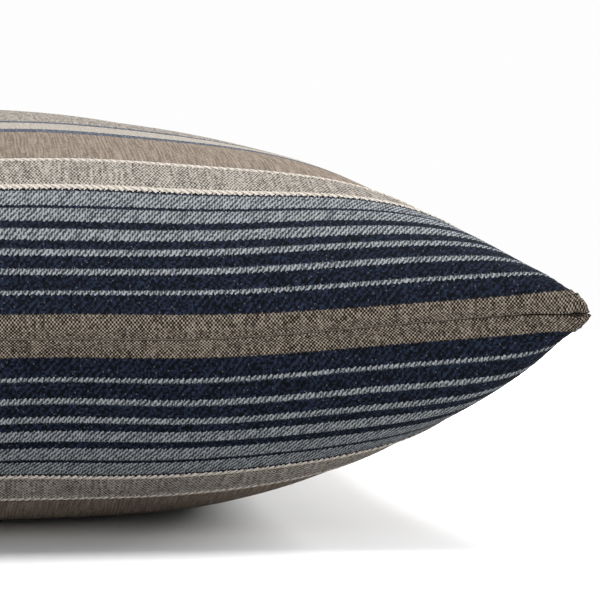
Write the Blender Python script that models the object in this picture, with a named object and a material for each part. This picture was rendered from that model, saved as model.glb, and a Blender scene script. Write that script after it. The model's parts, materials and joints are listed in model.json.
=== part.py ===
"""Throw pillow: a knife-edge cover with a zip in its far seam, round a removable filled insert.

Metres, +Z up. The pillow lies flat on z = 0 with its middle over the origin. The front seam
faces -Y, the zip is in the +Y seam, and +X is to the right.
"""
import math

import bmesh
import bpy
import numpy as np
from mathutils import Matrix, Vector

# ---- Driving dimensions of the stuffed cover ----
HALF_SIDE = 0.254          # flat cloth, centre to seam
CORNER = 0.2455            # stuffed, centre to corner, along X and along Y
BOW = 0.0240               # how far a side's middle is pulled in from its corners
CORNER_Z = 0.0935          # height of the seam at the corners
SAG = 0.0130               # how much lower the seam runs at a side's middle
CROWN_UP = 0.0880          # crown above the seam
CROWN_DOWN = 0.0960        # crown below the seam, before the floor flattens it
PLUMPNESS = 0.37           # exponent of the crown: lower is boxier
CROWN_POWER = 2.36         # how late the crown starts to fall towards a seam
RISE_UP, RISE_DOWN = 0.94, 0.87    # height gained per length of cloth, right at the seam
SEAM_BLEND, CORNER_BLEND = 3.3, 5.4
FLOOR_BLEND = 0.006        # height over which the belly rolls off the floor

# ---- Cloth, seams and insert ----
CLOTH = 0.0009             # cover cloth thickness
CASING = 0.0005            # insert casing thickness
ALLOWANCE = 0.012          # seam allowance, turned inside
SEAM_GAP = 0.0004          # half of the gap between the two panels at a sewn seam
FOLD = 0.0035              # depth of the fold where a panel turns into its allowance
INSERT_INSET = 0.015       # insert's seam, inside the cover's seam
INSERT_DROP = 0.0016       # insert's surface under the cover's outer surface
INSERT_GAP = 0.0003        # half of the gap between the two casings
FILL_DROP = 0.0030         # filling's surface under the cover's outer surface
FILL_INSET = 0.0180        # filling's edge, inside the cover's seam
THREAD_RADIUS = 0.0002
CORD_RADIUS = 0.0003       # overlock and insert seam thread
STITCH_INSET = 0.0015      # seam thread, inside the fold

# ---- Zip ----
ZIP_END = 0.181            # x of the outer face of each stop
ZIP_GAP = 0.0027           # half of the gap between the lips over the zip
STOP_LENGTH = 0.0030
COIL_HALF = 0.1775         # half length of the coils
COIL_RADIUS = 0.0006
COIL_IN, COIL_UP = 0.00045, 0.00075     # coil centre, in from the fold line and off the seam plane
TAPE = 0.0003              # tape thickness
TAPE_FACE = 0.00125        # depth of the tape's upright leg
TAPE_LEVEL = 0.0015        # height of the tape's flat leg off the seam plane
TAPE_DEPTH = 0.011
SLIDER_X = -0.168          # slider at rest: zip closed
SLIDER_LENGTH = 0.009
PULL_LENGTH = 0.022
PIN_OUT = 0.0037           # pull's pin, outside the fold line
PIN_RADIUS = 0.0004
EYE_CLEARANCE = 0.00025
EYE_WALL = 0.0006

FINE, COARSE = 64, 8      # cells from centre to seam: for the shape, and for the meshes
SEAM_CROWDING = 1.6        # cells get closer towards the seam
SETTLING_STEPS = 60
CLOSING_CELLS = 2          # mesh cells each side of the insert's closing stitch


def clear_scene():
    for old in list(bpy.data.objects):
        bpy.data.objects.remove(old, do_unlink=True)


def material(name, colour, roughness, metallic=0.0):
    """One plain Principled material, with its colour in linear light."""
    made = bpy.data.materials.new(name)
    made.use_nodes = True
    shader = made.node_tree.nodes["Principled BSDF"]
    shader.inputs["Base Color"].default_value = (*colour, 1.0)
    shader.inputs["Roughness"].default_value = roughness
    shader.inputs["Metallic"].default_value = metallic
    return made


def add_object(name, mesh, surface):
    made = bpy.data.objects.new(name, mesh)
    mesh.materials.append(surface)
    bpy.context.collection.objects.link(made)
    return made


# ---- Shape of the stuffed cloth ----
def seam_height(u, v):
    """Height of the sheet that the seam lies on, u and v being 0 at the centre and 1 at a seam."""
    return CORNER_Z - SAG * (1 - u * u * v * v)


def crown(u, v, height, rise):
    """Height of a panel off the seam sheet: a plump dome whose slope at a seam is limited."""
    dome = height * np.maximum((1 - u ** CROWN_POWER) * (1 - v ** CROWN_POWER), 1e-12) ** PLUMPNESS
    to_u, to_v = np.maximum(1 - u, 1e-6), np.maximum(1 - v, 1e-6)
    nearest = (to_u ** -CORNER_BLEND + to_v ** -CORNER_BLEND) ** (-1 / CORNER_BLEND)
    ramp = rise * HALF_SIDE * nearest
    return (dome ** -SEAM_BLEND + ramp ** -SEAM_BLEND) ** (-1 / SEAM_BLEND)


def on_floor(z):
    """Flatten what would go below the floor, with a smooth roll-off."""
    rolled = (z + FLOOR_BLEND) ** 2 / (4 * FLOOR_BLEND)
    return np.where(z < -FLOOR_BLEND, 0.0, np.where(z > FLOOR_BLEND, z, rolled))


def quarter_panel(side):
    """Points of a quarter panel, u and v from 0 to 1, side +1 for the upper panel, -1 for the lower.

    Yarns don't stretch, so each step along one spends cloth on height and drift, and only
    the rest moves the point outwards. The plan of the panel settles under that rule, and
    is then eased onto the seam's curve.
    """
    steps = 1 - (1 - np.linspace(0, 1, FINE + 1)) ** SEAM_CROWDING
    u, v = np.meshgrid(steps, steps, indexing="ij")
    if side > 0:
        z = seam_height(u, v) + crown(u, v, CROWN_UP, RISE_UP)
    else:
        z = on_floor(seam_height(u, v) - crown(u, v, CROWN_DOWN, RISE_DOWN))
    z[-1, :] = seam_height(u, v)[-1, :]
    z[:, -1] = seam_height(u, v)[:, -1]

    def slope(field, axis):
        return np.gradient(field, steps, axis=axis)

    def laid(pace):
        out = np.zeros_like(pace)
        out[1:] = np.cumsum(0.5 * (pace[1:] + pace[:-1]) * np.diff(steps)[:, None], axis=0)
        return out

    def pace(height_slope, drift):
        left = HALF_SIDE ** 2 - height_slope ** 2 - drift ** 2
        return np.sqrt(np.maximum(left, (0.15 * HALF_SIDE) ** 2))

    x, y = u * HALF_SIDE, v * HALF_SIDE
    rise_u, rise_v = slope(z, 0), slope(z, 1)
    for _ in range(SETTLING_STEPS):
        new_x = laid(pace(rise_u, slope(y, 0)))
        new_y = laid(pace(rise_v, slope(x, 1)).T).T
        x, y = 0.5 * (x + new_x), 0.5 * (y + new_y)
    side_line = CORNER - BOW * (1 - steps ** 2)
    x += (side_line - x[-1, :])[None, :] * u ** 3
    y += (side_line - y[:, -1])[:, None] * v ** 3
    x += (CORNER * steps - x[:, -1])[:, None] * v ** 6 * (1 - u ** 6)
    y += (CORNER * steps - y[-1, :])[None, :] * u ** 6 * (1 - v ** 6)
    return np.stack([x, y, z], axis=-1)


def whole_panel(quarter):
    """Mirror a quarter into the whole panel, an array of points [along X, along Y]."""
    mirrored = quarter[:0:-1] * (-1, 1, 1)
    half = np.concatenate([mirrored, quarter], axis=0)
    other = half[:, :0:-1] * (1, -1, 1)
    return np.concatenate([other, half], axis=1)


def outward_normals(points, side):
    along_x, along_y = np.gradient(points, axis=0), np.gradient(points, axis=1)
    normals = np.cross(along_x, along_y) * side
    return normals / np.linalg.norm(normals, axis=-1, keepdims=True)


def rim_indices(last):
    """Grid indices round the edge, anticlockwise seen from above."""
    front = [(i, 0) for i in range(last)]
    right = [(last, j) for j in range(last)]
    back = [(i, last) for i in range(last, 0, -1)]
    left = [(0, j) for j in range(last, 0, -1)]
    return front + right + back + left


RIM = rim_indices(2 * COARSE)


def rim_of(points):
    return np.array([points[i, j] for i, j in RIM])


def shrunk(loop, inset, lift=0.0):
    """A rim moved in by inset at the corners, and moved up by lift."""
    scale = 1 - inset / CORNER
    return loop * (scale, scale, 1) + (0, 0, lift)


def coarse(points):
    stride = FINE // COARSE
    return points[::stride, ::stride].copy()


# ---- Closed bodies on the panel grid ----
def closed_shell(name, outer, inner, loops, side, surface):
    """Outer sheet, rings of loops round its rim, and inner sheet on the last ring."""
    last = 2 * COARSE
    built = bmesh.new()
    outside = [[built.verts.new(outer[i, j]) for j in range(last + 1)] for i in range(last + 1)]
    rings = [[outside[i][j] for i, j in RIM]]
    for loop in loops:
        rings.append([built.verts.new(point) for point in loop])
    inside = [[None] * (last + 1) for _ in range(last + 1)]
    for (i, j), vert in zip(RIM, rings[-1]):
        inside[i][j] = vert
    for i in range(1, last):
        for j in range(1, last):
            inside[i][j] = built.verts.new(inner[i, j])

    def face(corners, keep):
        built.faces.new(corners if keep else corners[::-1])

    for i in range(last):
        for j in range(last):
            for sheet, keep in ((outside, side > 0), (inside, side < 0)):
                a, b = sheet[i][j], sheet[i + 1][j]
                c, d = sheet[i + 1][j + 1], sheet[i][j + 1]
                if (i < COARSE) == (j < COARSE):
                    face((a, b, c), keep)
                    face((a, c, d), keep)
                else:
                    face((a, b, d), keep)
                    face((b, c, d), keep)
    for ring, following in zip(rings, rings[1:]):
        count = len(ring)
        for k in range(count):
            n = (k + 1) % count
            face((ring[k], following[k], ring[n]), side > 0)
            face((ring[n], following[k], following[n]), side > 0)
    mesh = bpy.data.meshes.new(name)
    built.to_mesh(mesh)
    built.free()
    mesh.shade_smooth()
    mesh.set_sharp_from_angle(angle=math.radians(50))
    return add_object(name, mesh, surface)


def lip_gaps():
    """Half gap between the panels at each rim point: wide over the zip, narrow elsewhere."""
    rim = rim_of(coarse(whole_panel(quarter_panel(1))))
    over_zip = (rim[:, 1] > 0) & (np.abs(rim[:, 0]) < ZIP_END + 0.019)
    over_zip &= np.array([j == 2 * COARSE for _, j in RIM])
    return np.where(over_zip, ZIP_GAP, SEAM_GAP)


def cover_panel(name, side, surface):
    fine = whole_panel(quarter_panel(side))
    outer = coarse(fine)
    inner = outer - CLOTH * coarse(outward_normals(fine, side))
    gaps = lip_gaps() * side
    for (i, j), gap in zip(RIM, gaps):
        outer[i, j, 2] += gap
    lip = rim_of(outer)
    end_outside = shrunk(lip, ALLOWANCE)
    end_inside = shrunk(lip, ALLOWANCE, CLOTH * side)
    fold_inside = shrunk(lip, FOLD, CLOTH * side)
    return closed_shell(name, outer, inner, [end_outside, end_inside, fold_inside], side, surface)


def insert_sheet(side, drop, inset):
    """Surface of the insert: it follows the cover, and its own seam lies further in."""
    quarter = quarter_panel(side)
    steps = 1 - (1 - np.linspace(0, 1, FINE + 1)) ** SEAM_CROWDING
    u, v = np.meshgrid(steps, steps, indexing="ij")
    quarter[..., 0] -= inset * u ** 4
    quarter[..., 1] -= inset * v ** 4
    middle = seam_height(u, v)
    height = np.maximum(side * (quarter[..., 2] - middle) - drop, INSERT_GAP)
    quarter[..., 2] = middle + side * height
    return whole_panel(quarter)


def insert_casing(name, side, surface):
    fine = insert_sheet(side, INSERT_DROP, INSERT_INSET)
    outer = coarse(fine)
    inner = outer - CASING * coarse(outward_normals(fine, side))
    inside_rim = shrunk(rim_of(outer), 3 * CASING)
    return closed_shell(name, outer, inner, [inside_rim], side, surface)


def insert_fill(name, surface):
    above, below = (coarse(insert_sheet(side, FILL_DROP, FILL_INSET)) for side in (1, -1))
    return closed_shell(name, above, below, [rim_of(below)], 1, surface)


# ---- Threads and swept strips ----
def thread(name, points, radius, surface, closed=False):
    curve = bpy.data.curves.new(name, "CURVE")
    curve.dimensions = "3D"
    curve.bevel_depth = radius
    curve.bevel_resolution = 0
    curve.use_fill_caps = True
    spline = curve.splines.new("POLY")
    spline.points.add(len(points) - 1)
    for target, point in zip(spline.points, points):
        target.co = (*point, 1.0)
    spline.use_cyclic_u = closed
    return add_object(name, curve, surface)


def side_frame(x):
    """Fold line of the zip's seam at x: its point, and the along, outward and up directions."""
    part = x / CORNER
    point = Vector((x, CORNER - BOW * (1 - part ** 2), CORNER_Z - SAG * (1 - part ** 2)))
    along = Vector((1.0, 2 * BOW * x / CORNER ** 2, 2 * SAG * x / CORNER ** 2)).normalized()
    up = (Vector((0, 0, 1)) - along.z * along).normalized()
    outward = up.cross(along)
    return point, along, outward, up


def seam_path(start, stop, count, depth, level=0.0):
    """Points along the zip's seam, depth inside the fold line and level above it."""
    path = []
    for x in np.linspace(start, stop, count):
        point, _, outward, up = side_frame(x)
        path.append(point - depth * outward + level * up)
    return path


def sweep(name, profile, half_length, count, surface):
    """A closed profile of (depth, level) points carried along the zip's seam."""
    built = bmesh.new()
    rings = []
    for x in np.linspace(-half_length, half_length, count):
        point, _, outward, up = side_frame(x)
        rings.append([built.verts.new(point - d * outward + z * up) for d, z in profile])
    size = len(profile)
    for ring, following in zip(rings, rings[1:]):
        for k in range(size):
            n = (k + 1) % size
            built.faces.new((ring[k], ring[n], following[n], following[k]))
    built.faces.new(rings[0][::-1])
    built.faces.new(rings[-1])
    bmesh.ops.recalc_face_normals(built, faces=built.faces)
    mesh = bpy.data.meshes.new(name)
    built.to_mesh(mesh)
    built.free()
    return add_object(name, mesh, surface)


def tape_profile(side):
    """L-shaped section of a zip tape: an upright leg behind the coil, and a flat leg inwards."""
    top, low = TAPE_LEVEL + TAPE, 0.00025
    corners = [(TAPE_FACE, low), (TAPE_FACE, top), (TAPE_DEPTH, top), (TAPE_DEPTH, TAPE_LEVEL),
               (TAPE_FACE + TAPE, TAPE_LEVEL), (TAPE_FACE + TAPE, low)]
    return [(depth, side * level) for depth, level in corners]


def block(name, low, high):
    """A box between two corners of the local frame."""
    built = bmesh.new()
    bmesh.ops.create_cube(built, size=1.0)
    size, middle = Vector(high) - Vector(low), (Vector(high) + Vector(low)) / 2
    bmesh.ops.scale(built, vec=size, verts=built.verts)
    bmesh.ops.translate(built, vec=middle, verts=built.verts)
    mesh = bpy.data.meshes.new(name)
    built.to_mesh(mesh)
    built.free()
    return mesh


def cylinder(name, radius, low, high, middle, sides=16):
    """An upright cylinder from low to high, round the local point middle = (x, y)."""
    built = bmesh.new()
    bmesh.ops.create_cone(built, cap_ends=True, segments=sides, radius1=radius, radius2=radius,
                          depth=high - low)
    bmesh.ops.translate(built, vec=(*middle, (low + high) / 2), verts=built.verts)
    mesh = bpy.data.meshes.new(name)
    built.to_mesh(mesh)
    built.free()
    return mesh


def combine(target, mesh, operation):
    """Join a mesh to the target, or cut it away, with an exact Boolean."""
    cutter = bpy.data.objects.new(mesh.name, mesh)
    cutter.hide_render = True
    cutter.display_type = "WIRE"
    cutter.parent = target
    bpy.context.collection.objects.link(cutter)
    step = target.modifiers.new(mesh.name, "BOOLEAN")
    step.operation = operation
    step.solver = "EXACT"
    step.object = cutter


def stand_at(target, x):
    """Place an object with its local x along the zip, y outward and z up, on the fold line."""
    point, along, outward, up = side_frame(x)
    turn = Matrix((along, outward, up)).transposed().to_4x4()
    target.matrix_basis = Matrix.Translation(point) @ turn


# ---- Sub-parts ----
def cover(cloth, sewing):
    cover_panel("upper_cover_panel", 1, cloth)
    cover_panel("lower_cover_panel", -1, cloth)
    rim = rim_of(coarse(whole_panel(quarter_panel(1))))
    stitch = shrunk(rim, STITCH_INSET)
    side = 2 * COARSE
    corner_skip = 1
    sides = {"front_seam_thread": stitch[corner_skip:side - corner_skip + 1],
             "right_seam_thread": stitch[side + corner_skip:2 * side - corner_skip + 1],
             "left_seam_thread": stitch[3 * side + corner_skip:4 * side - corner_skip + 1]}
    for name, points in sides.items():
        thread(name, points, THREAD_RADIUS, sewing)
    ends = {"back_seam_thread_left": -1, "back_seam_thread_right": 1}
    for name, way in ends.items():
        points = seam_path(way * 0.222, way * 0.240, 4, STITCH_INSET)
        thread(name, points, THREAD_RADIUS, sewing)
    edge = shrunk(rim, ALLOWANCE + 2 * CORD_RADIUS)
    three_sides = np.concatenate([edge[3 * side + 1:], edge[:2 * side]])
    thread("overlock_thread", three_sides, CORD_RADIUS, sewing)


def zip_fastener(tape_cloth, nylon, sewing, metal, painted):
    for name, side in (("upper", 1), ("lower", -1)):
        sweep("zipper_tape_" + name, tape_profile(side), ZIP_END, 17, tape_cloth)
        coil = seam_path(-COIL_HALF, COIL_HALF, 25, COIL_IN, side * COIL_UP)
        thread("zipper_coil_" + name, coil, COIL_RADIUS, nylon)
        stitch = seam_path(-COIL_HALF, COIL_HALF, 17, 0.005, side * (TAPE_LEVEL - 0.0003))
        thread("zipper_stitch_" + name, stitch, THREAD_RADIUS, sewing)

    half = STOP_LENGTH / 2
    outer_face, inner_face = COIL_RADIUS - COIL_IN, -(COIL_IN + COIL_RADIUS)
    low, high = COIL_UP - COIL_RADIUS, COIL_UP + COIL_RADIUS
    stops = {"zipper_top_stop_upper": (-1, low, high), "zipper_top_stop_lower": (-1, -high, -low),
             "zipper_bottom_stop": (1, -high, high)}
    for name, (end, bottom, top) in stops.items():
        shape = block(name, (-half, inner_face, bottom), (half, outer_face, top))
        stand_at(add_object(name, shape, metal), end * (ZIP_END - half))
    slider_and_pull(painted)


def slider_and_pull(painted):
    # The slider turns about a far upright line, the centre of the seam's own curve.
    reach = math.hypot(BOW, SAG)
    radius = CORNER ** 2 / (2 * reach)
    middle = side_frame(0)[0]
    centre = bpy.data.objects.new("zip_curve_centre", None)
    centre.location = middle + radius * Vector((0, BOW, SAG)) / reach
    bpy.context.collection.objects.link(centre)

    half = SLIDER_LENGTH / 2
    plate_in, plate_out = 0.0006, 0.0022
    wall_in, wall_out = 0.0017, 0.0022
    slider = add_object("zipper_slider", block("zipper_slider", (-half, plate_in, -wall_out),
                                               (half, plate_out, wall_out)), painted)
    for side, name in ((1, "upper_wall"), (-1, "lower_wall")):
        ends = sorted((side * wall_in, side * wall_out))
        combine(slider, block(name, (-half, -0.0008, ends[0]), (half, plate_out - 0.0004, ends[1])), "UNION")
    ear_out = PIN_OUT + 0.0008
    for side, name in ((1, "upper_ear"), (-1, "lower_ear")):
        ends = sorted((side * 0.0014, side * wall_out))
        combine(slider, block(name, (-0.0012, plate_out - 0.0004, ends[0]), (0.0012, ear_out, ends[1])), "UNION")
    combine(slider, cylinder("pull_pin", PIN_RADIUS, -0.0018, 0.0018, (0, PIN_OUT)), "UNION")
    stand_at(slider, SLIDER_X)
    slider.location -= centre.location
    slider.parent = centre

    eye = PIN_RADIUS + EYE_CLEARANCE
    pull = add_object("zipper_pull", cylinder("zipper_pull", eye + EYE_WALL, -0.0011, 0.0011, (0, 0)), painted)
    combine(pull, block("pull_tab", (eye + 0.0001, -0.0005, -0.00108), (0.008, 0.0006, 0.00108)), "UNION")
    combine(pull, block("pull_grip", (0.0078, -0.0005, -0.0028), (PULL_LENGTH, 0.0007, 0.0028)), "UNION")
    combine(pull, cylinder("pull_eye", eye, -0.002, 0.002, (0, 0)), "DIFFERENCE")
    pull.location = (0, PIN_OUT, 0)
    pull.parent = slider


def insert(casing_cloth, fibre, sewing):
    insert_casing("insert_upper_casing", 1, casing_cloth)
    insert_casing("insert_lower_casing", -1, casing_cloth)
    insert_fill("insert_fill", fibre)
    rim = rim_of(coarse(insert_sheet(1, INSERT_DROP, INSERT_INSET))) - (0, 0, INSERT_GAP)
    seam = shrunk(rim, -0.0007)
    side = 2 * COARSE
    closing = slice(COARSE - CLOSING_CELLS, COARSE + CLOSING_CELLS + 1)
    thread("insert_closing_stitch", seam[closing], CORD_RADIUS, sewing)
    rest = np.concatenate([seam[COARSE + CLOSING_CELLS + 1:], seam[:COARSE - CLOSING_CELLS]])
    thread("insert_seam_thread", rest, CORD_RADIUS, sewing)


def labels(ribbon):
    """Blank labels sewn in by the left-hand seam, one to the cover and one to the insert."""
    for name, y, level in (("care_label", 0.110, -0.0022), ("insert_label", -0.090, 0.0022)):
        part = y / CORNER
        seam_x = -(CORNER - BOW * (1 - part ** 2))
        seam_z = CORNER_Z - SAG * (1 - part ** 2)
        lean = math.atan2(-2 * BOW * y / CORNER ** 2, 1.0)
        made = add_object(name, block(name, (0, -0.012, -0.00025), (0.0085, 0.012, 0.00025)), ribbon)
        made.location = (seam_x + 0.0052, y, seam_z + level)
        made.rotation_euler = (math.atan2(2 * SAG * y / CORNER ** 2, 1.0), 0, -lean)


def build():
    clear_scene()
    striped = material("striped_cloth", (0.045, 0.052, 0.062), 0.92)
    sewing = material("sewing_thread", (0.10, 0.085, 0.07), 0.8)
    tape_cloth = material("zip_tape", (0.08, 0.07, 0.06), 0.9)
    nylon = material("zip_coil", (0.07, 0.06, 0.05), 0.45)
    steel = material("zip_stop", (0.35, 0.34, 0.33), 0.35, 1.0)
    painted = material("zip_slider", (0.08, 0.07, 0.06), 0.35, 0.9)
    casing_cloth = material("casing_cloth", (0.78, 0.77, 0.74), 0.95)
    fibre = material("fibre_fill", (0.85, 0.85, 0.83), 1.0)
    ribbon = material("label_ribbon", (0.82, 0.81, 0.78), 0.7)
    cover(striped, sewing)
    zip_fastener(tape_cloth, nylon, sewing, steel, painted)
    insert(casing_cloth, fibre, sewing)
    labels(ribbon)


build()
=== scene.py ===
"""Throw pillow: striped woven cover with a knife edge, a zip in its far seam, and a filled insert.

Metres, +Z up. The pillow lies flat on z = 0, its plain front seam facing -Y and its zip +Y.
The stripes run along X. The shape is the stuffed shape of the frame's own solids, made again
at the fineness of cloth, and every point keeps its place on the flat cloth for the weave.
"""

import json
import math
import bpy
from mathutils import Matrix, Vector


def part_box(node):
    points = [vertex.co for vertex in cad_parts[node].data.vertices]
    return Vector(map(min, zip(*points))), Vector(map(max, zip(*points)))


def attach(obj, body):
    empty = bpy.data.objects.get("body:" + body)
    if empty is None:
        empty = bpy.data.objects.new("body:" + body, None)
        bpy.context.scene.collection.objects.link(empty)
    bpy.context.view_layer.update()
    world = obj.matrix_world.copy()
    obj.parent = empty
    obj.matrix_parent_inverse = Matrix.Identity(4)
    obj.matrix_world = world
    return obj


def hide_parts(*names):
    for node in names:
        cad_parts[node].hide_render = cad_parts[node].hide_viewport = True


bl_info = {
    "name": "Striped Throw Pillow",
    "version": (1, 0, 0),
    "blender": (4, 5, 0),
    "location": "3D View > Sidebar > Pillow",
    "description": "Builds a striped throw pillow with its zip, insert and studio",
    "category": "Object",
}

import bmesh
import bpy
import numpy as np
from mathutils import Matrix, Vector

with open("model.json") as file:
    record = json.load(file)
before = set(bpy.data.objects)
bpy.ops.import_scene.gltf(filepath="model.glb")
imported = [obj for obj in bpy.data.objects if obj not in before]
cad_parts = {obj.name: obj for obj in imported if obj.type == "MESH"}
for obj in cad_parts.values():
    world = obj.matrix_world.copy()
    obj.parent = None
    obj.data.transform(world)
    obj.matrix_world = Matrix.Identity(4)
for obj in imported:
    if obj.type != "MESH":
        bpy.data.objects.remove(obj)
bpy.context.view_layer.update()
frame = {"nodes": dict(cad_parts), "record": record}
UPPER_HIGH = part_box("upper_cover_panel")[1]

MM = 0.001


def shade(red, green, blue):
    """Linear colour of an 8-bit display colour."""
    def level(value):
        value /= 255
        return value / 12.92 if value <= 0.04045 else ((value + 0.055) / 1.055) ** 2.4
    return level(red), level(green), level(blue)


def number(name, description, default, **kind):
    return bpy.props.FloatProperty(name=name, description=description, default=default, **kind)


def length(name, description, default):
    return number(name, description, default, unit="LENGTH", precision=5)


def colour(name, description, default):
    return bpy.props.FloatVectorProperty(name=name, description=description, default=default,
                                         subtype="COLOR", size=3, min=0.0, max=1.0)


# ---- Settings ----
class PillowShape(bpy.types.PropertyGroup):
    half_side: length("Half side", "Flat cloth, from the centre to a seam", 0.254)
    corner: length("Corner", "Stuffed, from the centre to a corner along X", UPPER_HIGH.x)
    bow: length("Bow", "How far a side's middle is pulled in", 0.0240)
    corner_z: length("Corner height", "Height of the seam at the corners", 0.0935)
    sag: length("Sag", "How much lower the seam runs at a side's middle", 0.0130)
    crown_up: length("Upper crown", "Crown above the seam", 0.0880)
    crown_down: length("Lower crown", "Crown below the seam, before the floor flattens it", 0.0960)
    plumpness: number("Plumpness", "Exponent of the crown, lower is boxier", 0.37)
    crown_power: number("Crown power", "How late the crown starts to fall", 2.36)
    rise_up: number("Upper rise", "Height gained per length of cloth at the seam", 0.94)
    rise_down: number("Lower rise", "Height lost per length of cloth at the seam", 0.87)
    seam_blend: number("Seam blend", "How sharply the dome meets the seam's slope", 3.3)
    corner_blend: number("Corner blend", "How sharply two seams' slopes meet", 5.4)
    floor_blend: length("Floor blend", "Height over which the belly rolls off the floor", 0.006)


class PillowCloth(bpy.types.PropertyGroup):
    thickness: length("Cloth thickness", "Thickness of the woven cover", 0.0009)
    roll: length("Seam roll", "Radius of the cloth where it rolls into a seam", 0.0009)
    allowance: length("Allowance", "Cloth turned inside along a seam", 0.012)
    bulge: length("Bulge", "How far the cloth beside a seam stands out from it", 0.0012)
    nose: length("Nose", "Extra height of the upper layer just inside a corner", 0.0024)
    navy: colour("Navy", "Dark blue yarn", shade(22, 28, 42))
    navy_gap: colour("Navy gap", "Between the navy yarns", shade(3, 4, 6))
    slate: colour("Blue grey", "Blue-grey yarn of the twill stripes", shade(101, 104, 106))
    slate_gap: colour("Twill gap", "Between the twill's yarns", shade(27, 31, 36))
    taupe: colour("Taupe", "Light yarn of the taupe plain weave", shade(99, 91, 82))
    taupe_gap: colour("Taupe gap", "Between the taupe yarns", shade(10, 7, 5))
    sand: colour("Sand", "Light yarn of the beige stripes", shade(118, 113, 107))
    sand_gap: colour("Sand gap", "Between the beige yarns", shade(43, 39, 34))
    rib: colour("Rib", "Light yarn of the ribbed band", shade(98, 89, 80))
    rib_gap: colour("Rib gap", "Between the rib's yarns", shade(69, 61, 54))
    cream: colour("Cream", "Thick cream cord", shade(137, 131, 124))
    cream_gap: colour("Cream gap", "Between the cord's turns", shade(102, 97, 90))
    speck: colour("Speck", "Warm-grey fibres in the navy", shade(78, 75, 71))


class PillowTrim(bpy.types.PropertyGroup):
    thread: colour("Thread", "Sewing thread", shade(96, 88, 79))
    tape: colour("Zip tape", "Woven zip tape", shade(74, 70, 66))
    coil: colour("Zip coil", "Nylon coil", shade(66, 62, 58))
    enamel: colour("Slider enamel", "Enamel on the slider and pull", shade(84, 80, 75))
    steel: colour("Stop metal", "Pressed metal of the zip's stops", shade(176, 174, 170))
    casing: colour("Casing", "Cotton casing of the insert", shade(226, 223, 216))
    fibre: colour("Fibre", "Loose filling", shade(236, 235, 232))
    ribbon: colour("Ribbon", "Blank satin label", shade(228, 226, 220))
    zip_gap: length("Zip opening", "Half of the gap between the lips over the zip", 0.0027)
    zip_half: length("Zip half length", "From the middle to where the lips start to close", 0.1945)
    lips_closed: length("Lips closed", "From the middle to where the lips are closed", 0.2187)
    coil_pitch: length("Coil pitch", "Distance from one turn of the coil to the next", 0.0014)
    coil_wire: length("Coil wire", "Radius of the coil's wire", 0.00022)


class PillowStage(bpy.types.PropertyGroup):
    aside: length("Camera aside", "Camera's place along X", -0.0543)
    back: length("Camera back", "Camera's distance in front of the pillow's centre", 1.4931)
    height: length("Camera height", "Camera's height above the floor", 0.1699)
    heading: number("Heading", "Camera turned to the right, in radians", 0.1495)
    tilt: number("Tilt", "Camera tilted down, in radians", 0.0575)
    lens: number("Lens", "Focal length in millimetres on a 36 mm sensor", 203.7)
    backdrop: colour("Backdrop", "White of the surroundings", (0.985, 0.985, 0.985))
    floor: colour("Floor", "Pale floor", (0.64, 0.64, 0.64))
    key_power: number("Key power", "Power of the overhead softbox in watts", 118.0)
    front_power: number("Front power", "Power of the low softbox at the front in watts", 62.0)
    side_power: number("Side power", "Power of the low softbox at the right in watts", 60.0)


# ---- Shape of the stuffed cloth ----
def seam_height(shape, u, v):
    """Height of the sheet that the seam lies on, u and v being 0 at the centre and 1 at a seam."""
    return shape.corner_z - shape.sag * (1 - u * u * v * v)


def crown(shape, u, v, height, rise):
    """Height of a panel off the seam sheet: a plump dome whose slope at a seam is limited."""
    fall = (1 - u ** shape.crown_power) * (1 - v ** shape.crown_power)
    dome = height * np.maximum(fall, 1e-12) ** shape.plumpness
    to_u, to_v = np.maximum(1 - u, 1e-6), np.maximum(1 - v, 1e-6)
    blend = shape.corner_blend
    nearest = (to_u ** -blend + to_v ** -blend) ** (-1 / blend)
    ramp = rise * shape.half_side * nearest
    blend = shape.seam_blend
    return (dome ** -blend + ramp ** -blend) ** (-1 / blend)


LEAST_PACE = 0.15          # share of the cloth that always moves a point outwards
PLAN_ROUNDS = 60           # rounds in which the plan settles


def on_floor(shape, z):
    """Flatten what would go below the floor, with a smooth roll-off."""
    soft = shape.floor_blend
    rolled = (z + soft) ** 2 / (4 * soft)
    return np.where(z < -soft, 0.0, np.where(z > soft, z, rolled))


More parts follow.
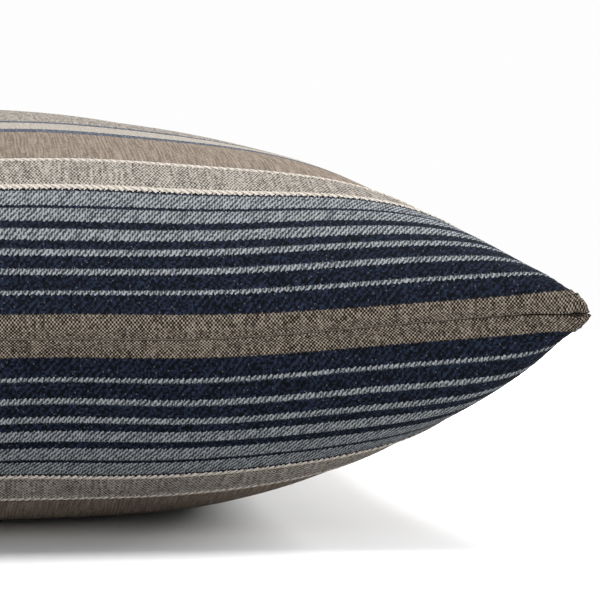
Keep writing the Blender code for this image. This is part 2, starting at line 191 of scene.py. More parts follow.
def quarter_panel(shape, side, along, across):
    """Points of a quarter panel at the given cloth places, side +1 for the upper panel.

    Yarns don't stretch, so each step along one spends cloth on height and drift, and only
    the rest moves the point outwards. The plan settles under that rule, and is then eased
    onto the seam's curve.
    """
    u, v = np.meshgrid(along, across, indexing="ij")
    middle = seam_height(shape, u, v)
    if side > 0:
        z = middle + crown(shape, u, v, shape.crown_up, shape.rise_up)
    else:
        z = on_floor(shape, middle - crown(shape, u, v, shape.crown_down, shape.rise_down))
    z[-1, :], z[:, -1] = middle[-1, :], middle[:, -1]

    def slope(field, axis):
        return np.gradient(field, (along, across)[axis], axis=axis)

    def laid(pace, steps):
        out = np.zeros_like(pace)
        out[1:] = np.cumsum(0.5 * (pace[1:] + pace[:-1]) * np.diff(steps)[:, None], axis=0)
        return out

    def pace(height_slope, drift):
        left = shape.half_side ** 2 - height_slope ** 2 - drift ** 2
        return np.sqrt(np.maximum(left, (LEAST_PACE * shape.half_side) ** 2))

    x, y = u * shape.half_side, v * shape.half_side
    rise_u, rise_v = slope(z, 0), slope(z, 1)
    for _ in range(PLAN_ROUNDS):
        new_x = laid(pace(rise_u, slope(y, 0)), along)
        new_y = laid(pace(rise_v, slope(x, 1)).T, across).T
        x, y = 0.5 * (x + new_x), 0.5 * (y + new_y)
    x += (shape.corner - shape.bow * (1 - across ** 2) - x[-1, :])[None, :] * u ** 3
    y += (shape.corner - shape.bow * (1 - along ** 2) - y[:, -1])[:, None] * v ** 3
    x += (shape.corner * along - x[:, -1])[:, None] * v ** 6 * (1 - u ** 6)
    y += (shape.corner * across - y[-1, :])[None, :] * u ** 6 * (1 - v ** 6)
    return np.stack([x, y, z], axis=-1)


def whole_panel(quarter):
    """Mirror a quarter into the whole panel, an array of points [along X, along Y]."""
    mirrored = quarter[:0:-1] * (-1, 1, 1)
    half = np.concatenate([mirrored, quarter], axis=0)
    other = half[:, :0:-1] * (1, -1, 1)
    return np.concatenate([other, half], axis=1)


def cloth_places(shape, along, across):
    """Where each point of the whole panel lies on the flat cloth, in metres."""
    whole_u = np.concatenate([-along[:0:-1], along]) * shape.half_side
    whole_v = np.concatenate([-across[:0:-1], across]) * shape.half_side
    u, v = np.meshgrid(whole_u, whole_v, indexing="ij")
    return np.stack([u, v, np.zeros_like(u)], axis=-1)


def panel_normals(points, side):
    along_x, along_y = np.gradient(points, axis=0), np.gradient(points, axis=1)
    normals = np.cross(along_x, along_y) * side
    return normals / np.linalg.norm(normals, axis=-1, keepdims=True)


SEAM_ROWS = (0, 0.8, 1.6, 2.6, 4.0, 6.0, 8.5)      # distances from a seam, millimetres


def stations(shape, spacing, lines=()):
    """Cloth places from the centre (0) to the seam (1): closer at the seam and at raised lines."""
    near = np.array(SEAM_ROWS) * MM
    reach = shape.half_side - near[-1]
    even = near[-1] + np.linspace(0, reach, int(round(reach / spacing)) + 1)
    marks = [line + offset * MM for line in lines for offset in range(-3, 4)]
    kept = [d for d in even if all(abs(d - mark) > 0.8 * MM for mark in marks)]
    distances = np.sort(np.concatenate([near[:-1], marks, kept]))
    return 1 - distances[::-1] / shape.half_side


def rim_of(sheet):
    """Grid indices round a sheet's edge, anticlockwise seen from above."""
    last_i, last_j = sheet.shape[0] - 1, sheet.shape[1] - 1
    front = [(i, 0) for i in range(last_i)]
    right = [(last_i, j) for j in range(last_j)]
    back = [(i, last_j) for i in range(last_i, 0, -1)]
    left = [(0, j) for j in range(last_j, 0, -1)]
    return tuple(np.array(front + right + back + left).T)


def shrunk(shape, loop, inset, lift=0.0):
    """A rim moved in by inset at the corners, and moved up by lift."""
    scale = 1 - inset / shape.corner
    moved = loop * (scale, scale, 1)
    moved[:, 2] += lift
    return moved


def grid_faces(index, flip):
    """Quads of a grid of vertex numbers."""
    a, b = index[:-1, :-1], index[1:, :-1]
    c, d = index[1:, 1:], index[:-1, 1:]
    corners = (a, d, c, b) if flip else (a, b, c, d)
    return np.stack(corners, axis=-1).reshape(-1, 4)


def closed_shell(name, outer, inner, loops, side, weave=None, beyond=()):
    """A closed body: outer sheet, rings round its rim, and inner sheet on the last ring.

    weave is each grid point's place on the cloth, and beyond how far past it each ring lies.
    """
    rows, columns = outer.shape[:2]
    rim = rim_of(outer)
    count = rows * columns
    outside = np.arange(count).reshape(rows, columns)
    rings = [outside[rim]]
    points = [outer.reshape(-1, 3)]
    for loop in loops:
        rings.append(np.arange(count, count + len(loop)))
        points.append(loop)
        count += len(loop)
    inside = np.empty((rows, columns), int)
    inside[rim] = rings[-1]
    core = (rows - 2) * (columns - 2)
    inside[1:-1, 1:-1] = np.arange(count, count + core).reshape(rows - 2, columns - 2)
    points.append(inner[1:-1, 1:-1].reshape(-1, 3))
    faces = [grid_faces(outside, side < 0), grid_faces(inside, side > 0)]
    for ring, following in zip(rings, rings[1:]):
        turned = np.roll(ring, -1), np.roll(following, -1)
        order = (ring, following, turned[1], turned[0])
        faces.append(np.stack(order if side > 0 else order[::-1], axis=-1))
    mesh = bpy.data.meshes.new(name)
    mesh.from_pydata(np.concatenate(points), [], np.concatenate(faces))
    if weave is not None:
        edge = weave[rim]
        away = np.zeros_like(edge)
        away[:, 0] = (rim[0] == rows - 1) * 1.0 - (rim[0] == 0)
        away[:, 1] = side * ((rim[1] == columns - 1) * 1.0 - (rim[1] == 0))
        flat = [weave.reshape(-1, 3), *(edge + away * reach for reach in beyond),
                weave[1:-1, 1:-1].reshape(-1, 3)]
        data = mesh.attributes.new("weave", "FLOAT_VECTOR", "POINT").data
        data.foreach_set("vector", np.concatenate(flat).astype(np.float32).ravel())
    mesh.validate()
    mesh.shade_smooth()
    made = bpy.data.objects.new(name, mesh)
    bpy.context.scene.collection.objects.link(made)
    return made


def smooth_step(low, high, value):
    part = np.clip((value - low) / (high - low), 0, 1)
    return part * part * (3 - 2 * part)


def hump(x, y, at_x, at_y, spread, height):
    """A round rise of the given height, that falls off over the spread."""
    return height * np.exp(-((x - at_x) ** 2 + (y - at_y) ** 2) / spread ** 2)


# Place, spread and height of each swelling of the cloth, and of the droop at a corner.
HUMPS = ((0.195, -0.08, 0.06, 2.0 * MM), (0.0, 0.02, 0.08, 1.2 * MM),
         (0.247, -0.247, 0.02, -2.5 * MM))
# The front's waves: height, length, and where one crest, and the middle of them all, lie.
WAVE_HEIGHT, WAVE_LENGTH, CREST_X, WAVES_X, WAVES_SPREAD = 1.4 * MM, 0.2, 0.022, 0.07, 0.10


def settled(points):
    """Points moved by a used pillow's unevenness: not on the floor or at the zip."""
    x, y, z = points[..., 0], points[..., 1], points[..., 2]
    front = smooth_step(0.04, -0.20, y)
    wave = WAVE_HEIGHT * np.cos(math.tau * (x - CREST_X) / WAVE_LENGTH)
    wave = wave * np.exp(-((x - WAVES_X) / WAVES_SPREAD) ** 2)
    humps = sum(hump(x, y, *one) for one in HUMPS)
    moved = points.copy()
    moved[..., 2] += (wave * front + humps) * smooth_step(0, 0.03, z)
    return moved


# ---- Shader building ----
class Wire:
    """One socket's value, for arithmetic between sockets and numbers."""

    def __init__(self, paint, socket):
        self.paint, self.socket = paint, socket

    def __add__(self, other):
        return self.paint.maths("ADD", self, other)

    def __sub__(self, other):
        return self.paint.maths("SUBTRACT", self, other)

    def __rsub__(self, other):
        return self.paint.maths("SUBTRACT", other, self)

    def __mul__(self, other):
        return self.paint.maths("MULTIPLY", self, other)

    def __truediv__(self, other):
        return self.paint.maths("DIVIDE", self, other)

    def __gt__(self, other):
        return self.paint.maths("GREATER_THAN", self, other)

    __radd__, __rmul__ = __add__, __mul__


class Paint:
    """A material and the nodes that feed its Principled shader."""

    def __init__(self, name, roughness=0.9, metallic=0.0, sheen=0.0, specular=0.5):
        self.material = bpy.data.materials.new(name)
        self.material.use_nodes = True
        self.tree = self.material.node_tree
        self.shader = self.tree.nodes["Principled BSDF"]
        self.set("Roughness", roughness)
        self.set("Metallic", metallic)
        self.set("Sheen Weight", sheen)
        self.set("Specular IOR Level", specular)

    def set(self, name, value):
        self._feed(self.shader.inputs[name], value)

    def _feed(self, socket, value):
        if isinstance(value, Wire):
            self.tree.links.new(value.socket, socket)
        elif socket.type == "RGBA":
            socket.default_value = (*value, 1.0)
        else:
            socket.default_value = value

    def node(self, kind, inputs, output=0, stops=None, **settings):
        """Any node: its type, its settings, its ramp's stops, and its sockets' values or links."""
        made = self.tree.nodes.new(kind)
        for key, value in settings.items():
            setattr(made, key, value)
        if stops:
            ramp = made.color_ramp
            ramp.interpolation = "CONSTANT"
            while len(ramp.elements) < len(stops):
                ramp.elements.new(1.0)
            for element, (position, value) in zip(ramp.elements, stops):
                element.position = position
                element.color = (*value, 1.0)
        for key, value in inputs.items():
            self._feed(made.inputs[key], value)
        return Wire(self, made.outputs[output])

    def maths(self, operation, *values):
        return self.node("ShaderNodeMath", dict(enumerate(values)), operation=operation)

    def sine(self, value):
        return self.maths("SINE", value)

    def smooth(self, value, low, high):
        return self.node("ShaderNodeMapRange", {0: value, 1: low, 2: high},
                         interpolation_type="SMOOTHSTEP")

    def mix(self, factor, first, second):
        return self.node("ShaderNodeMix", {0: factor, 6: first, 7: second}, output=2,
                         data_type="RGBA")

    def tone(self, tint, factor):
        """Set the base colour, made lighter or darker by a factor."""
        self.set("Base Color", self.node("ShaderNodeVectorMath", {0: tint, 3: factor},
                                         operation="SCALE"))

    def xyz(self, vector):
        split = self.node("ShaderNodeSeparateXYZ", {0: vector})
        outputs = split.socket.node.outputs
        return [Wire(self, outputs[k]) for k in range(3)]

    def join(self, x, y, z=0.0):
        return self.node("ShaderNodeCombineXYZ", {0: x, 1: y, 2: z})

    def noise(self, vector, scale, detail=2.0):
        return self.node("ShaderNodeTexNoise", {"Vector": vector, "Scale": scale, "Detail": detail})

    def cell(self, x, y):
        """An even random number for each whole-number cell."""
        place = self.join(self.maths("FLOOR", x), self.maths("FLOOR", y))
        return self.node("ShaderNodeTexWhiteNoise", {"Vector": place})

    def bump(self, height, distance):
        self.set("Normal", self.node("ShaderNodeBump", {"Height": height, "Distance": distance}))


# Stripes from a seam to the pillow's middle: where each starts, in millimetres, and its weave.
STRIPES = [
    (0.0, "taupe"), (9.1, "navy"), (17.9, "slate"), (19.8, "navy"), (27.4, "slate"),
    (30.1, "navy"), (36.5, "slate"), (39.6, "navy"), (44.0, "slate"), (49.4, "navy"),
    (53.5, "slate"), (60.9, "navy"), (62.8, "slate"), (71.3, "navy"), (72.4, "cream"),
    (75.5, "sand"), (94.1, "cream"), (97.5, "navy"), (98.3, "rib"), (139.0, "dash"),
    (146.5, "oat"), (164.5, "dash"), (170.5, "sand"),
]
CORDS = (74.0, 95.8)       # middles of the thick cream cords, millimetres from the seam
RAMP_SPLIT, RAMP_END = 80.0, 180.0
# Millimetres from one thread or line of floats to the next.
WARP, WEFT, WIDE_WEFT = 0.70, 0.86, 1.3
TWILL_ALONG, TWILL_ACROSS = 2.1, 3.0
CORD_TURN = 3.1
WEAVES = ("taupe", "navy", "slate", "sand", "cream", "rib", "dash", "oat")


def choose(paint, bits, options):
    """The option whose number the bits spell, the first bit being worth one."""
    if len(options) == 1:
        return options[0]
    half = len(options) // 2
    return paint.mix(bits[-1], choose(paint, bits[:-1], options[:half]),
                     choose(paint, bits[:-1], options[half:]))


def striped_cloth(cloth, half_side):
    """The cover's woven cloth: bands of twill, plain weave, rib and cream cord."""
    paint = Paint("striped_cloth", roughness=0.9, specular=0.03)
    x, y, _ = paint.xyz(paint.node("ShaderNodeAttribute", {}, output=1, attribute_name="weave"))
    x, y = x * 1000.0, y * 1000.0
    x = x + (paint.noise(paint.join(x * 0.03, y * 0.03), 1.0) - 0.5) * 3.0
    seam = half_side * 1000 - paint.maths("ABSOLUTE", y)

    warp = paint.sine(x * (math.pi / WARP))
    dots = warp * paint.sine(y * (math.pi / WEFT))
    wide_dots = warp * paint.sine(y * (math.pi / WIDE_WEFT))
    sway = paint.noise(paint.join(x * 0.35, y * 0.35), 1.0) * 0.6
    twill = x / TWILL_ALONG - y / TWILL_ACROSS + sway
    strokes = paint.sine(twill * math.tau)
    sheen = paint.sine((twill * 2.0 + y / 1.7) * math.tau)
    grouping = paint.sine((x - y * 0.7) * (math.tau / 8.4))
    grouping = grouping + paint.sine(x * (math.tau / 4.2)) * 0.5
    rope = paint.sine((x + seam * 1.2) * (math.tau / CORD_TURN))
    fleck = paint.cell(x / WARP, y / WEFT) - 0.5
    stroke = paint.cell(twill, y / 1.6) - 0.5
    slub = paint.noise(paint.join(x * 0.9, y * 0.05), 1.0, 3.0) - 0.5
    streak = paint.noise(paint.join(x * 1.2, y * 0.05), 1.0, 3.0) - 0.5

    # Floats and thread ends make every stripe's edge uneven.
    edge = seam + strokes * 0.28 + dots * 0.30 + fleck * 0.25
    # A ramp holds 256 steps, so the stripes are split over two to keep their edges sharp.
    codes = []
    for low, high in ((0.0, RAMP_SPLIT), (RAMP_SPLIT, RAMP_END)):
        inside = [(start, kind) for start, kind in STRIPES if low <= start < high]
        if low > 0:
            inside.insert(0, (low, [kind for start, kind in STRIPES if start < low][-1]))
        kinds = [WEAVES.index(kind) for _, kind in inside]
        stops = [((start - low) / (high - low), (kind & 1, kind >> 1 & 1, kind >> 2))
                 for (start, _), kind in zip(inside, kinds)]
        place = (edge - low) / (high - low)
        codes.append(paint.node("ShaderNodeValToRGB", {0: place}, stops=stops))
    bits = paint.xyz(paint.mix(edge > RAMP_SPLIT, codes[0], codes[1]))

    faint_twill = paint.sine((x / 2.85 - y / 3.8) * math.tau)
    levels = {
        "taupe": paint.smooth(dots + fleck * 0.9 + slub, -0.45, 0.8),
        "navy": paint.smooth(fleck * 1.4 + stroke * 0.4 + faint_twill * 0.3, -0.6, 1.3),
        "slate": paint.smooth(strokes * 0.65 + sheen * 0.4 + fleck * 0.9 + stroke * 0.5
                              + grouping * 0.1, -0.85, 0.85),
        "sand": paint.smooth(wide_dots * 0.65 + fleck * 0.9 + slub * 1.7, -0.8, 0.7),
        "cream": paint.smooth(rope + fleck * 0.8, -1.5, 0.5),
        "rib": paint.smooth(streak * 1.3 + fleck * 0.3 + warp * 0.08, -0.3, 0.3),
        "dash": paint.smooth(rope + fleck, -0.1, 1.5),
        "oat": paint.smooth(streak * 1.5 + fleck * 0.6, -0.7, 0.5),
    }
    # The first six weaves have two colours of their own.
    yarns = {kind: (getattr(cloth, kind + "_gap"), getattr(cloth, kind)) for kind in WEAVES[:6]}
    yarns.update(dash=(cloth.navy, cloth.slate), oat=(cloth.sand, cloth.cream_gap))
    bands = [paint.mix(levels[kind], *yarns[kind]) for kind in WEAVES]
    speck = (fleck > 0.465) * paint.smooth(dots, 0.2, 0.9) * 0.5
    navy = WEAVES.index("navy")
    bands[navy] = paint.mix(speck, bands[navy], cloth.speck)
    fade = paint.noise(paint.join(x * 0.012, y * 0.012), 1.0)
    paint.tone(choose(paint, bits, bands), 0.92 + fade * 0.16)

    relief = {"taupe": 0.6, "navy": 0.3, "slate": 0.8, "sand": 0.5, "cream": 0.9, "rib": 0.4,
              "dash": 0.7, "oat": 0.6}
    paint.bump(choose(paint, bits, [levels[kind] * relief[kind] for kind in WEAVES]), 0.35 * MM)
    return paint.material


YARN_CONTRAST = 0.25


def plain_yarn(name, tint, pitch, roughness=0.85, depth=0.15, sheen=0.0):
    """A plain weave or spun surface in one colour, on Object coordinates."""
    paint = Paint(name, roughness=roughness, sheen=sheen)
    place = paint.node("ShaderNodeTexCoord", {}, output=3)
    x, y, z = paint.xyz(place)
    rate = math.pi / pitch
    weave = paint.sine(x * rate) * paint.sine((y + z) * rate)
    mottle = paint.noise(place, 60.0, 3.0)
    level = (1 - YARN_CONTRAST / 2) + weave * (YARN_CONTRAST / 2) + (mottle - 0.5) * YARN_CONTRAST
    paint.tone(tint, level)
    paint.bump(weave, depth * MM)
    return paint.material


def enamelled(name, tint, metallic, roughness):
    """Enamelled or bare metal, rubbed brighter here and there."""
    paint = Paint(name, roughness=roughness, metallic=metallic)
    place = paint.node("ShaderNodeTexCoord", {}, output=3)
    wear = paint.smooth(paint.noise(place, 900.0, 4.0), 0.35, 0.75)
    paint.tone(tint, 0.75 + wear * 0.5)
    paint.set("Roughness", roughness + 0.2 * wear)
    paint.bump(wear, 0.02 * MM)
    return paint.material


def dress(target, material):
    """Give a piece its material."""
    target.data.materials.clear()
    target.data.materials.append(material)


def settings():
    scene = bpy.context.scene
    return scene.pillow_shape, scene.pillow_cloth, scene.pillow_trim, scene.pillow_stage


# ---- The cover ----
# The small pocket between the layers at a front corner: place along X, spread, half height.
POCKET_X, POCKET_SPREAD, POCKET_HALF = 0.2405, 2.2 * MM, 1.2 * MM
# Distance from both seams, spread and height of the cloth's swelling behind a corner.
PUFF_IN, PUFF_SPREAD, PUFF_HEIGHT = 15 * MM, 13 * MM, 1.7 * MM
NOSE_IN, NOSE_SPREAD = 5.5 * MM, 7.5 * MM
# How far a tip is drawn in on the upper (1) and lower (-1) panel, and over what distance.
TIP_DRAWN, TIP_SPREAD = {1: 1.0 * MM, -1: 0.6 * MM}, 3 * MM
GROOVE_REACH = 4.5 * MM    # from the seam to where the cloth beside it stands out most
CORD_HEIGHT, CORD_HALF = 0.65 * MM, 1.7            # metres, and millimetres of cloth
# Slow waves: radians per metre along X and Y, phase, and height in millimetres.
SOFT_WAVES = ((41, 17, 0.3, 0.50), (-23, 37, 1.9, 0.45), (15, -52, 4.1, 0.30), (67, 31, 2.6, 0.18),
              (-58, 71, 5.2, 0.14))


def lip_gap(trim, x, y):
    """Half gap between the two panels at a rim point: open over the zip, nearly shut elsewhere."""
    open_part = 1 - smooth_step(trim.zip_half, trim.lips_closed, np.abs(x))
    pocket = POCKET_HALF * np.exp(-((np.abs(x) - POCKET_X) / POCKET_SPREAD) ** 2)
    return np.where(y > 0, trim.zip_gap * open_part, pocket * (y < -np.abs(x) + 0.5 * MM))


def crease(shape, x, y):
    """Half gap where the panels meet, nothing at the corners."""
    to_corner = 2 * shape.corner - np.abs(x) - np.abs(y)
    return 0.15 * MM * smooth_step(4 * MM, 16 * MM, to_corner)


def softness(places, shape):
    """Slow unevenness of stuffed cloth, nothing at the seams, as a height off the even shape."""
    u, v = places[..., 0], places[..., 1]
    total = sum(size * np.sin(a * u + b * v + turn) for a, b, turn, size in SOFT_WAVES)
    inside = (1 - np.abs(u) / shape.half_side) * (1 - np.abs(v) / shape.half_side)
    return total * MM * smooth_step(0, 0.12, inside)


# Millimetres from the seam, and how far the stripes are moved there: towards the seam or away
# from it by the sign, and the other way on the lower cloth.
PATTERN_AT, PATTERN_OFF = (8.4, 28, 38, 65, 96, 130), (1.0, -0.9, -1.3, -1.5, 1.2, 0.0)
# The same for a further move that grows towards the right end, for upper (1) and lower (-1).
DRIFT_AT, DRIFT = (8.4, 19, 33, 60), {1: (-1.9, -0.6, 0.4, 1.1), -1: (0.0, 1.2, 1.4, 1.4)}


def pattern_places(places, shape, side):
    """Where the stripes fall: the upper cloth's lie a little off the lower's."""
    seam = shape.half_side - np.abs(places[..., 1])
    off = np.interp(seam / MM, PATTERN_AT, PATTERN_OFF)
    off += np.interp(seam / MM, DRIFT_AT, DRIFT[side]) * smooth_step(0.07, 0.19, places[..., 0])
    off *= MM
    return side * np.sign(places[..., 1]) * (shape.half_side - seam + side * off)


def cord_relief(pattern_y, shape):
    """Height of the thick cream cords above the cloth round them."""
    seam = (shape.half_side - np.abs(pattern_y)) / MM
    return sum(CORD_HEIGHT * np.clip(1 - ((seam - line) / CORD_HALF) ** 2, 0, None)
               for line in CORDS)


def groove(shape, cloth, points, places):
    """Push the cloth beside the plain seams outwards, so that they lie in a shallow groove."""
    edges = shape.half_side - np.abs(places)
    for axis, other in ((0, 1), (1, 0)):
        near = edges[..., axis] / GROOVE_REACH
        push = cloth.bulge * near * np.exp(1 - near) * smooth_step(0, 0.05, edges[..., other])
        plain = 1.0 if axis == 0 else places[..., 1] < 0
        points[..., axis] += np.sign(places[..., axis]) * push * plain
    return points


def shaped_corners(points, edges, side, nose):
    """Swell the cloth behind the corners, and draw their tips in."""
    edge_u, edge_v, edge = edges[..., 0], edges[..., 1], edges.min(axis=-1)
    puff = hump(edge_u, edge_v, PUFF_IN, PUFF_IN, PUFF_SPREAD, PUFF_HEIGHT)
    points[..., 2] += puff * smooth_step(0, 10 * MM, edge)
    if side > 0:
        bump = hump(edge_u, edge_v, NOSE_IN, NOSE_IN, NOSE_SPREAD, nose)
        points[..., 2] += bump * smooth_step(0, 2 * MM, edge)
    drawn = hump(edge_u, edge_v, 0, 0, TIP_SPREAD, TIP_DRAWN[side])
    points[..., :2] -= np.sign(points[..., :2]) * drawn[..., None]
    return points


def cover_panel(name, side):
    """One panel: its cloth outside and inside, rolled over at the rim into its seam allowance."""
    shape, cloth, trim, _ = settings()
    spacing = 3.0 * MM
    along = stations(shape, spacing)
    across = stations(shape, spacing, [line * MM for line in CORDS])
    places = cloth_places(shape, along, across)
    pattern_y = pattern_places(places, shape, side)
    outer = whole_panel(quarter_panel(shape, side, along, across))
    outer = groove(shape, cloth, outer, places)
    edges = shape.half_side - np.abs(places[..., :2])
    edge = edges.min(axis=-1)
    outer = shaped_corners(outer, edges, side, cloth.nose)
    normals = panel_normals(outer, side)
    relief = cord_relief(pattern_y, shape) * smooth_step(0, 6 * MM, edge)
    soft = softness(places, shape)
    if side < 0:
        soft = soft * smooth_step(0.004, 0.03, outer[..., 2])
        relief = relief * smooth_step(0.0, 0.004, outer[..., 2])
    outer = outer + normals * (relief + soft)[..., None]
    inner = outer - normals * cloth.thickness
    gap = lip_gap(trim, outer[..., 0], outer[..., 1])
    lift = gap * (1 - smooth_step(0, 22 * MM, edges[..., 1]))
    lift += cloth.roll * (1 - smooth_step(0, 4 * MM, edge))
    outer[..., 2] += side * lift
    inner[..., 2] += side * lift
    outer, inner = settled(outer), settled(inner)
    rim = rim_of(outer)
    top = outer[rim]
    low = lip_gap(trim, top[:, 0], top[:, 1]) + crease(shape, top[:, 0], top[:, 1])
    low -= gap[rim] + cloth.roll
    turns = [step * math.pi / 8 for step in (1, 2, 3, 4)]
    loops = [shrunk(shape, top, cloth.roll * (1 - math.cos(turn)), side * low * math.sin(turn))
             for turn in turns]
    loops += [shrunk(shape, top, cloth.allowance, side * low),
              shrunk(shape, top, cloth.allowance, side * (low + cloth.thickness)),
              shrunk(shape, top, 3.6 * cloth.thickness, side * (low + cloth.thickness))]
    beyond = [cloth.roll * turn for turn in turns] + [cloth.allowance] * 3
    weave = np.stack([places[..., 0], pattern_y, 0 * pattern_y], axis=-1)
    return closed_shell(name, outer, inner, loops, side, weave, beyond)


class PILLOW_OT_cover(bpy.types.Operator):
    """Sew the two striped panels of the cover"""
    bl_idname = "pillow.cover"
    bl_label = "Cover"

    def execute(self, context):
        shape, cloth, _, _ = settings()
        material = striped_cloth(cloth, shape.half_side)
        for name, node, side in (("upper_cover", "upper_cover_panel", 1),
                                 ("lower_cover", "lower_cover_panel", -1)):
            panel = cover_panel(name, side)
            dress(panel, material)
            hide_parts(node)
            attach(panel, "root")
        return {"FINISHED"}


# ---- The insert ----
INSERT_DROP, INSERT_INSET, INSERT_SPACING = 1.9 * MM, 15 * MM, 9 * MM
CASING_WALL = 0.5 * MM
FILL_DROP, FILL_INSET = INSERT_DROP + 1.4 * MM, INSERT_INSET + 3 * MM


def insert_sheet(shape, side, drop=INSERT_DROP, inset=INSERT_INSET):
    """Surface of the insert: it follows the cover, and its own seam lies further in."""
    along = stations(shape, INSERT_SPACING)
    quarter = quarter_panel(shape, side, along, along)
    u, v = np.meshgrid(along, along, indexing="ij")
    quarter[..., 0] -= inset * u ** 4
    quarter[..., 1] -= inset * v ** 4
    middle = seam_height(shape, u, v)
    height = np.maximum(side * (quarter[..., 2] - middle) - drop, 0.3 * MM)
    quarter[..., 2] = middle + side * height
    return settled(whole_panel(quarter))


class PILLOW_OT_insert(bpy.types.Operator):
    """Make the removable insert: two casing halves round loose filling"""
    bl_idname = "pillow.insert"
    bl_label = "Insert"

    def execute(self, context):
        shape, _, trim, _ = settings()
        casing = plain_yarn("casing_cloth", trim.casing, 0.9 * MM, sheen=0.1)
        for name, node, side in (("insert_casing_upper", "insert_upper_casing", 1),
                                 ("insert_casing_lower", "insert_lower_casing", -1)):
            outer = insert_sheet(shape, side)
            inner = outer - CASING_WALL * panel_normals(outer, side)
            edge = shrunk(shape, outer[rim_of(outer)], 3 * CASING_WALL)
            half = closed_shell(name, outer, inner, [edge], side)
            dress(half, casing)
            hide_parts(node)
            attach(half, "root")
        above = insert_sheet(shape, 1, FILL_DROP, FILL_INSET)
        below = insert_sheet(shape, -1, FILL_DROP, FILL_INSET)
        fill = closed_shell("insert_filling", above, below, [below[rim_of(below)]], 1)
        fibre = plain_yarn("fibre_fill", trim.fibre, 4 * MM, roughness=1.0, depth=0.8)
        dress(fill, fibre)
        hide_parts("insert_fill")
        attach(fill, "root")
        return {"FINISHED"}


# ---- Sewing, labels and the zip ----
STITCH_IN, STITCH_RADIUS, STITCH_SWAY, SEAM_POINTS = 1.5 * MM, 0.18 * MM, 0.08 * MM, 161
EDGE_IN, CORD_RADIUS, EDGE_POINTS = 12.6 * MM, 0.3 * MM, 81
INSERT_SEAM_OUT, INSERT_SEAM_LOW = 0.7 * MM, 0.3 * MM


def pick(targets):
    """Select only these objects, and make the first one active."""
    bpy.ops.object.select_all(action="DESELECT")
    for target in targets:
        target.select_set(True)
    bpy.context.view_layer.objects.active = targets[0]


def round_wire(name, points, radius):
    """A round wire or thread along points, as a mesh."""
    curve = bpy.data.curves.new(name, "CURVE")
    curve.dimensions = "3D"
    curve.bevel_depth = radius
    curve.bevel_resolution = 1
    curve.use_fill_caps = True
    spline = curve.splines.new("POLY")
    spline.points.add(len(points) - 1)
    for target, point in zip(spline.points, points):
        target.co = (*point, 1.0)
    made = bpy.data.objects.new(name, curve)
    bpy.context.scene.collection.objects.link(made)
    pick([made])
    bpy.ops.object.convert(target="MESH")
    bpy.ops.object.shade_smooth()
    return made


def yarn(name, points, radius, material, node):
    """A thread in the place of a node of the frame."""
    made = round_wire(name, points, radius)
    dress(made, material)
    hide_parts(node)
    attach(made, "root")


def seam_round(shape, inset, count):
    """The front, right, back and left side of the cover's seam, inset from the fold."""
    steps = np.linspace(-1, 1, count)
    bowed = shape.corner - shape.bow * (1 - steps ** 2)
    level = seam_height(shape, steps, 1)
    front = np.stack([shape.corner * steps, -bowed, level], axis=1)
    right = np.stack([bowed, shape.corner * steps, level], axis=1)
    sides = [front, right, front[::-1] * (1, -1, 1), right[::-1] * (-1, 1, 1)]
    return [shrunk(shape, side, inset) for side in sides]


class PILLOW_OT_sewing(bpy.types.Operator):
    """Finish the threads, tapes, stops and blank labels of the frame"""
    bl_idname = "pillow.sewing"
    bl_label = "Sewing and labels"

    def execute(self, context):
        shape, _, trim, _ = settings()
        sewing = plain_yarn("sewing_thread", trim.thread, 0.5 * MM, depth=0.05)
        finishes = {
            "sewing_thread": sewing,
            "zip_tape": plain_yarn("zip_tape", trim.tape, 0.6 * MM, depth=0.08),
            "zip_stop": enamelled("zip_stop", trim.steel, 1.0, 0.35),
            "label_ribbon": plain_yarn("label_ribbon", trim.ribbon, 0.35 * MM, roughness=0.55,
                                       depth=0.03),
        }
        for part in frame["record"]["subparts"]:
            material = finishes.get(part["material_slot"])
            if material is not None:
                node = frame["nodes"][part["node"]]
                node.data.materials.clear()
                node.data.materials.append(material)
        front, right, _, left = seam_round(shape, STITCH_IN, SEAM_POINTS)
        sway = STITCH_SWAY * (-1.0) ** np.arange(SEAM_POINTS)[:, None] * (0, 0, 1)
        for side, points in (("front", front), ("right", right), ("left", left)):
            path = settled(points + sway)[8:-8]
            yarn(side + "_seam_stitches", path, STITCH_RADIUS, sewing, side + "_seam_thread")

        front, right, _, left = seam_round(shape, EDGE_IN, EDGE_POINTS)
        edge = settled(np.concatenate([left[4:], front[1:], right[1:-4]]))
        yarn("overlock_stitches", edge, CORD_RADIUS, sewing, "overlock_thread")

        sheet = insert_sheet(shape, 1)
        rim = rim_of(sheet)
        seam = shrunk(shape, sheet[rim], -INSERT_SEAM_OUT, -INSERT_SEAM_LOW)
        low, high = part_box("insert_closing_stitch")
        closing = (rim[1] == 0) & (seam[:, 0] > low.x) & (seam[:, 0] < high.x)
        start, stop = np.flatnonzero(closing)[[0, -1]]
        yarn("insert_closing_stitches", seam[start:stop + 1], CORD_RADIUS, sewing,
             "insert_closing_stitch")
        round_the_rest = np.concatenate([seam[stop + 1:], seam[:start]])
        yarn("insert_seam_stitches", round_the_rest, CORD_RADIUS, sewing, "insert_seam_thread")
        return {"FINISHED"}


def zip_frame(shape, x):
    """Fold line of the zip's seam at x: its point, and the along, outward and up directions."""
    part = x / shape.corner
    point = Vector((x, shape.corner - shape.bow * (1 - part ** 2), seam_height(shape, part, 1)))
    along = Vector((1.0, 2 * shape.bow * x / shape.corner ** 2,
                    2 * shape.sag * x / shape.corner ** 2)).normalized()
    up = (Vector((0, 0, 1)) - along.z * along).normalized()
    outward = up.cross(along)
    return point, along, outward, up


COIL_STEPS = 8             # points in one turn of a coil
